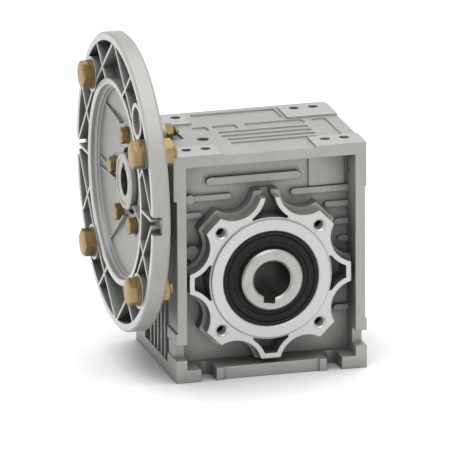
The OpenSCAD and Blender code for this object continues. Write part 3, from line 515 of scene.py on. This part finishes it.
class REDUCER_OT_shafts(bpy.types.Operator):
    """Finish the two hollow shafts as turned steel and the gear pair as cut metal"""
    bl_idname = "reducer.shafts"
    bl_label = "Shafts and gears"

    def execute(self, context):
        for name, node, mount, axis, at in (
                ("turned_steel", "output_shaft", "output_bore", "Y", 0.0),
                ("turned_steel_worm", "worm_shaft", "input_bore", "X", WORM_Z)):
            f = Finish(name, roughness=0.34)
            radius = f.ring(axis, at)
            marks = (radius * 14000.0).sine() * 0.5 + (radius * 5100.0).sine() * 0.5
            smears = f.noise(90.0, 3.0, 0.6)
            # painted shade: the bore's inner face is darkened nearly to black in the colour below,
            # as shade deep in the shaft; its added roughness is not shade
            inside = 1 - radius.above(mount_radius(mount))
            base = f.blend(smears.step(0.35, 0.7) * 0.5, (0.42, 0.41, 0.39), (0.32, 0.31, 0.295))
            base = f.blend(inside * 0.92, base, (0.07, 0.068, 0.064))
            f.set(Base_Color=base, Roughness=0.30 + smears * 0.16 + inside * 0.12)
            f.bump(marks + smears * 0.6, 0.22, 0.05 * MM, 0.4 * MM)
            put(f.material, node)
        f = Finish("ground_steel", roughness=0.26, color=(0.58, 0.58, 0.59))
        streaks = f.noise(700.0, 2.0, 0.5, (1.0, 0.1, 0.1))
        f.set(Base_Color=f.blend(streaks, (0.52, 0.52, 0.53), (0.62, 0.62, 0.63)),
              Roughness=0.2 + streaks * 0.15)
        f.bump(streaks, 0.15, 0.04 * MM)
        put(f.material, "worm_thread")
        f = Finish("bronze", roughness=0.32, color=(0.72, 0.50, 0.22))
        cuts = f.noise(900.0, 2.0, 0.5, (0.2, 1.0, 0.2))
        tarnish = f.noise(70.0, 3.0, 0.6)
        f.set(Base_Color=f.blend(tarnish.step(0.4, 0.7), (0.74, 0.52, 0.24), (0.58, 0.38, 0.16)),
              Roughness=0.26 + cuts * 0.14)
        f.bump(cuts, 0.15, 0.04 * MM)
        put(f.material, "wheel_rim")
        return {"FINISHED"}


class REDUCER_OT_bearings(bpy.types.Operator):
    """Finish the bearing rings, balls and cages"""
    bl_idname = "reducer.bearings"
    bl_label = "Bearings"

    def execute(self, context):
        f = Finish("bearing_steel", roughness=0.12, color=(0.70, 0.70, 0.71))
        polish = f.noise(260.0, 3.0, 0.5)
        f.set(Base_Color=f.blend(polish, (0.66, 0.66, 0.67), (0.74, 0.74, 0.75)),
              Roughness=0.08 + polish * 0.1)
        f.bump(polish, 0.08, 0.02 * MM)
        cage = Finish("cage_steel", roughness=0.36, color=(0.60, 0.58, 0.54))
        press = cage.noise(320.0, 3.0, 0.5)
        cage.set(Base_Color=cage.blend(press, (0.62, 0.60, 0.56), (0.52, 0.50, 0.46)),
                 Roughness=0.3 + press * 0.14)
        cage.bump(press, 0.1, 0.04 * MM)
        for place in ("front", "rear", "input", "tail"):
            put(f.material, place + "_outer_ring", place + "_inner_ring", place + "_balls")
            put(cage.material, place + "_cage")
        return {"FINISHED"}


class REDUCER_OT_seals(bpy.types.Operator):
    """Finish the rubber seals, the end cap, the rings and the gasket"""
    bl_idname = "reducer.seals"
    bl_label = "Seals and cap"

    def execute(self, context):
        f = Finish("black_rubber", metallic=0.0, roughness=0.5)
        bloom = f.noise(130.0, 4.0, 0.6)
        grain = f.noise(1900.0, 2.0, 0.5)
        moulding = (f.ring("Y") * 7000.0).sine()
        f.set(Base_Color=f.blend(bloom.step(0.45, 0.75) * 0.6, (0.006, 0.006, 0.007),
                                 (0.014, 0.014, 0.015)),
              Roughness=0.42 + grain * 0.16)
        f.shader.inputs["Specular IOR Level"].default_value = 0.28
        f.bump(grain + moulding * 0.15, 0.2, 0.08 * MM, 0.3 * MM)
        put(f.material, "front_seal", "rear_seal", "input_seal", "tail_cap", "cover_o_ring")
        f = Finish("gasket_paper", metallic=0.0, roughness=0.85)
        fibre = f.noise(900.0, 4.0, 0.7)
        f.set(Base_Color=f.blend(fibre, (0.10, 0.10, 0.10), (0.18, 0.175, 0.165)),
              Roughness=0.8 + fibre * 0.1)
        f.bump(fibre, 0.3, 0.1 * MM)
        put(f.material, "flange_gasket")
        f = Finish("black_steel", metallic=0.7, roughness=0.45)
        oxide = f.noise(400.0, 3.0, 0.6)
        f.set(Base_Color=f.blend(oxide, (0.05, 0.05, 0.055), (0.09, 0.09, 0.092)),
              Roughness=0.38 + oxide * 0.16)
        f.bump(oxide, 0.15, 0.06 * MM, 0.3 * MM)
        put(f.material, "cover_screws", "input_circlip", "tail_circlip", "oil_plug")
        return {"FINISHED"}


def zinc_plating(look):
    """The yellow plating that all the hexagon fasteners share, made by the first that asks."""
    made = bpy.data.materials.get("zinc_plating")
    if made:
        return made
    f = Finish("zinc_plating", roughness=0.3)
    cloud = f.noise(140.0, 3.0, 0.6)
    drift = f.noise(60.0, 2.0, 0.5)
    fine = f.noise(1100.0, 2.0, 0.5)
    tone = f.node("ShaderNodeValToRGB", {"stops": [
        (0.30, (0.24, 0.18, 0.11)), (0.46, tuple(look.zinc_color)), (0.60, (0.36, 0.25, 0.11)),
        (0.74, (0.25, 0.17, 0.08))]}, Fac=cloud)
    pale = f.blend(drift.step(0.5, 0.7) * 0.35, tone, (0.34, 0.30, 0.23))
    # painted shade: the plating turns dark brown in the corners and creases of the fasteners
    base = f.blend(f.hollow(4 * MM).step(0.2, 0.9), (0.10, 0.07, 0.04), pale)
    f.set(Base_Color=base, Roughness=0.28 + fine * 0.14 + cloud * 0.08)
    f.bump(fine + cloud * 0.5, 0.2, 0.08 * MM, 0.4 * MM)
    return f.material


class REDUCER_OT_motor_bolts(bpy.types.Operator):
    """Model the hexagonal bolts that hold the motor, with their washers and nuts"""
    bl_idname = "reducer.motor_bolts"
    bl_label = "Motor bolts"

    def execute(self, context):
        look = context.scene.reducer_look
        zinc = zinc_plating(look)
        bolts = hexagon_screws("bolt", "motor_bolts", WASHER_FACE, M10, look.thread_pitch,
                               0.5 * MM)
        nuts = hexagon_nuts("nut", "motor_nuts", M10)
        plated("motor_bolt_set", bolts, "motor_bolts", zinc)
        plated("motor_nut_set", nuts, "motor_nuts", zinc)
        put(zinc, "motor_washers")
        return {"FINISHED"}


class REDUCER_OT_flange_screws(bpy.types.Operator):
    """Model the screws that hold the flange to the housing, and the nut behind the lug"""
    bl_idname = "reducer.flange_screws"
    bl_label = "Flange screws"

    def execute(self, context):
        look = context.scene.reducer_look
        zinc = zinc_plating(look)
        screws = hexagon_screws("screw", "flange_screws", reach("flange_washers", 0, 0), M6,
                                M6_PITCH, 0.3 * MM)
        nuts = hexagon_nuts("lug_nut", "flange_nut", M6)
        plated("flange_screw_set", screws, "flange_screws", zinc)
        plated("lug_nut_piece", nuts, "flange_nut", zinc)
        put(zinc, "flange_washers")
        return {"FINISHED"}


class REDUCER_OT_tapped_holes(bpy.types.Operator):
    """Model the cut threads in the mounting holes of both star faces"""
    bl_idname = "reducer.tapped_holes"
    bl_label = "Tapped holes"

    def execute(self, context):
        pitch, crest, root, wall = 1.25 * MM, 3.4 * MM, 3.9 * MM, 4.12 * MM
        mouth, deep, last = 0.3 * MM, 10.3 * MM, 0.8 * MM
        profile = [(wall, mouth), (wall, deep), (crest, deep)]
        at = deep - pitch / 2
        while at - pitch / 2 > last:
            profile += [(crest, at), (root, at - pitch / 2)]
            at -= pitch
        profile += [(crest, at), (root, 2 * mouth), (wall, mouth)]
        aside = STAR_HOLES * math.cos(math.radians(45))
        hole = turned("tapped_hole", profile, (aside, -STAR_Y, aside), (0, 1, 0), 24)
        moves = [Matrix.Rotation(math.radians(half), 4, "Z")
                 @ Matrix.Rotation(math.radians(quarter), 4, "Y")
                 for half in (0, 180) for quarter in (0, 90, 180, 270)]
        whole = joined("star_hole_threads", repeated([hole], moves[1:]))
        f = Finish("cut_aluminium", roughness=0.3)
        feed = f.noise(1600.0, 2.0, 0.5)
        f.set(Base_Color=f.blend(feed, (0.60, 0.60, 0.59), (0.74, 0.74, 0.73)),
              Roughness=0.26 + feed * 0.16)
        f.bump(feed, 0.15, 0.04 * MM)
        whole.data.materials.clear()
        whole.data.materials.append(f.material)
        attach(whole, "housing")
        return {"FINISHED"}


class REDUCER_OT_stage(bpy.types.Operator):
    """Set the floor, the studio light and the camera"""
    bl_idname = "reducer.stage"
    bl_label = "Stage"

    def execute(self, context):
        scene = context.scene
        level = scene.reducer_look.light_level
        clear_selection()
        bpy.ops.mesh.primitive_plane_add(size=12.0, location=(0, 0, FOOT_Z))
        floor = context.object
        floor.name = "studio_floor"
        bpy.ops.object.mode_set(mode="EDIT")
        bpy.ops.mesh.select_all(action="SELECT")
        bpy.ops.mesh.subdivide(number_cuts=3)
        bpy.ops.object.mode_set(mode="OBJECT")
        bpy.ops.object.transform_apply(location=True, rotation=True, scale=True)
        f = Finish("studio_paper", metallic=0.0, roughness=0.55, color=(0.40, 0.40, 0.40))
        # painted shadow: the floor's white glow is dimmed by occlusion near the reducer, which
        # paints a soft shadow around its base
        shade = f.hollow(0.16).step(0.1, 1.0) * f.backdrop_rays()
        glow = f.node("ShaderNodeEmission", Strength=0.86,
                      Color=f.blend(shade, (0.0, 0.0, 0.0), (1.0, 1.0, 1.0)))
        both = f.node("ShaderNodeAddShader")
        for place, part in enumerate((Wire(f, f.shader.outputs[0]), glow)):
            f.join(part, both.socket.node.inputs[place])
        f.join(both, f.tree.nodes["Material Output"].inputs["Surface"])
        floor.data.materials.append(f.material)

        world = bpy.data.worlds.new("studio")
        scene.world = world
        world.use_nodes = True
        sky = Graph(world.node_tree)
        around = sky.node("ShaderNodeTexCoord", None, "Generated")
        height = sky.node("ShaderNodeSeparateXYZ", None, "Z", Vector=around)
        light = sky.node("ShaderNodeValToRGB", {"stops": [
            (0.0, (0.14, 0.14, 0.145)), (0.9, (0.80, 0.80, 0.81))]}, Fac=height)
        back = world.node_tree.nodes["Background"]
        sky.join(sky.blend(sky.backdrop_rays(), light, (1.0, 1.0, 1.0)), back.inputs["Color"])
        back.inputs["Strength"].default_value = 1.0

        for name, place, size, power in (
                ("top_box", (-0.15, -0.2, 1.6), 2.2, 16.0),
                ("front_box", (-0.7, -1.7, 0.75), 1.7, 1.6),
                ("right_box", (1.6, -0.6, 0.7), 1.2, 1.0),
                ("left_box", (-1.6, -0.5, 0.6), 1.2, 1.2)):
            bpy.ops.object.light_add(type="AREA", location=place)
            lamp = context.object
            lamp.name = name
            lamp.data.shape = "DISK"
            lamp.data.size = size
            lamp.data.energy = power * level
            aim = Vector((0, 0, 0.02)) - Vector(place)
            lamp.rotation_euler = aim.to_track_quat("-Z", "Y").to_euler()

        bpy.ops.object.camera_add(location=CAMERA_PLACE,
                                  rotation=[math.radians(a) for a in CAMERA_TURN])
        camera = context.object
        camera.name = "photo_camera"
        camera.data.lens = CAMERA_LENS
        camera.data.sensor_width = 36.0
        camera.data.clip_end = 50.0
        scene.camera = camera
        scene.view_settings.view_transform = "Standard"
        return {"FINISHED"}


class REDUCER_PT_panel(bpy.types.Panel):
    """The reducer's sizes, colours and steps"""
    bl_idname = "REDUCER_PT_panel"
    bl_label = "Worm gear reducer"
    bl_space_type = "VIEW_3D"
    bl_region_type = "UI"
    bl_category = "Reducer"

    def draw(self, context):
        look = context.scene.reducer_look
        for name in ReducerLook.__annotations__:
            self.layout.prop(look, name)
        for step in STEPS:
            self.layout.operator(step.bl_idname)


STEPS = (REDUCER_OT_castings, REDUCER_OT_shafts, REDUCER_OT_bearings, REDUCER_OT_seals,
         REDUCER_OT_motor_bolts, REDUCER_OT_flange_screws, REDUCER_OT_tapped_holes,
         REDUCER_OT_stage)
CLASSES = (ReducerLook,) + STEPS + (REDUCER_PT_panel,)


def register():
    for kind in CLASSES:
        bpy.utils.register_class(kind)
    bpy.types.Scene.reducer_look = PointerProperty(type=ReducerLook)


def unregister():
    del bpy.types.Scene.reducer_look
    for kind in reversed(CLASSES):
        bpy.utils.unregister_class(kind)


def main():
    register()
    for step in STEPS:
        family, name = step.bl_idname.split(".")
        getattr(getattr(bpy.ops, family), name)()


if __name__ == "__main__":
    main()
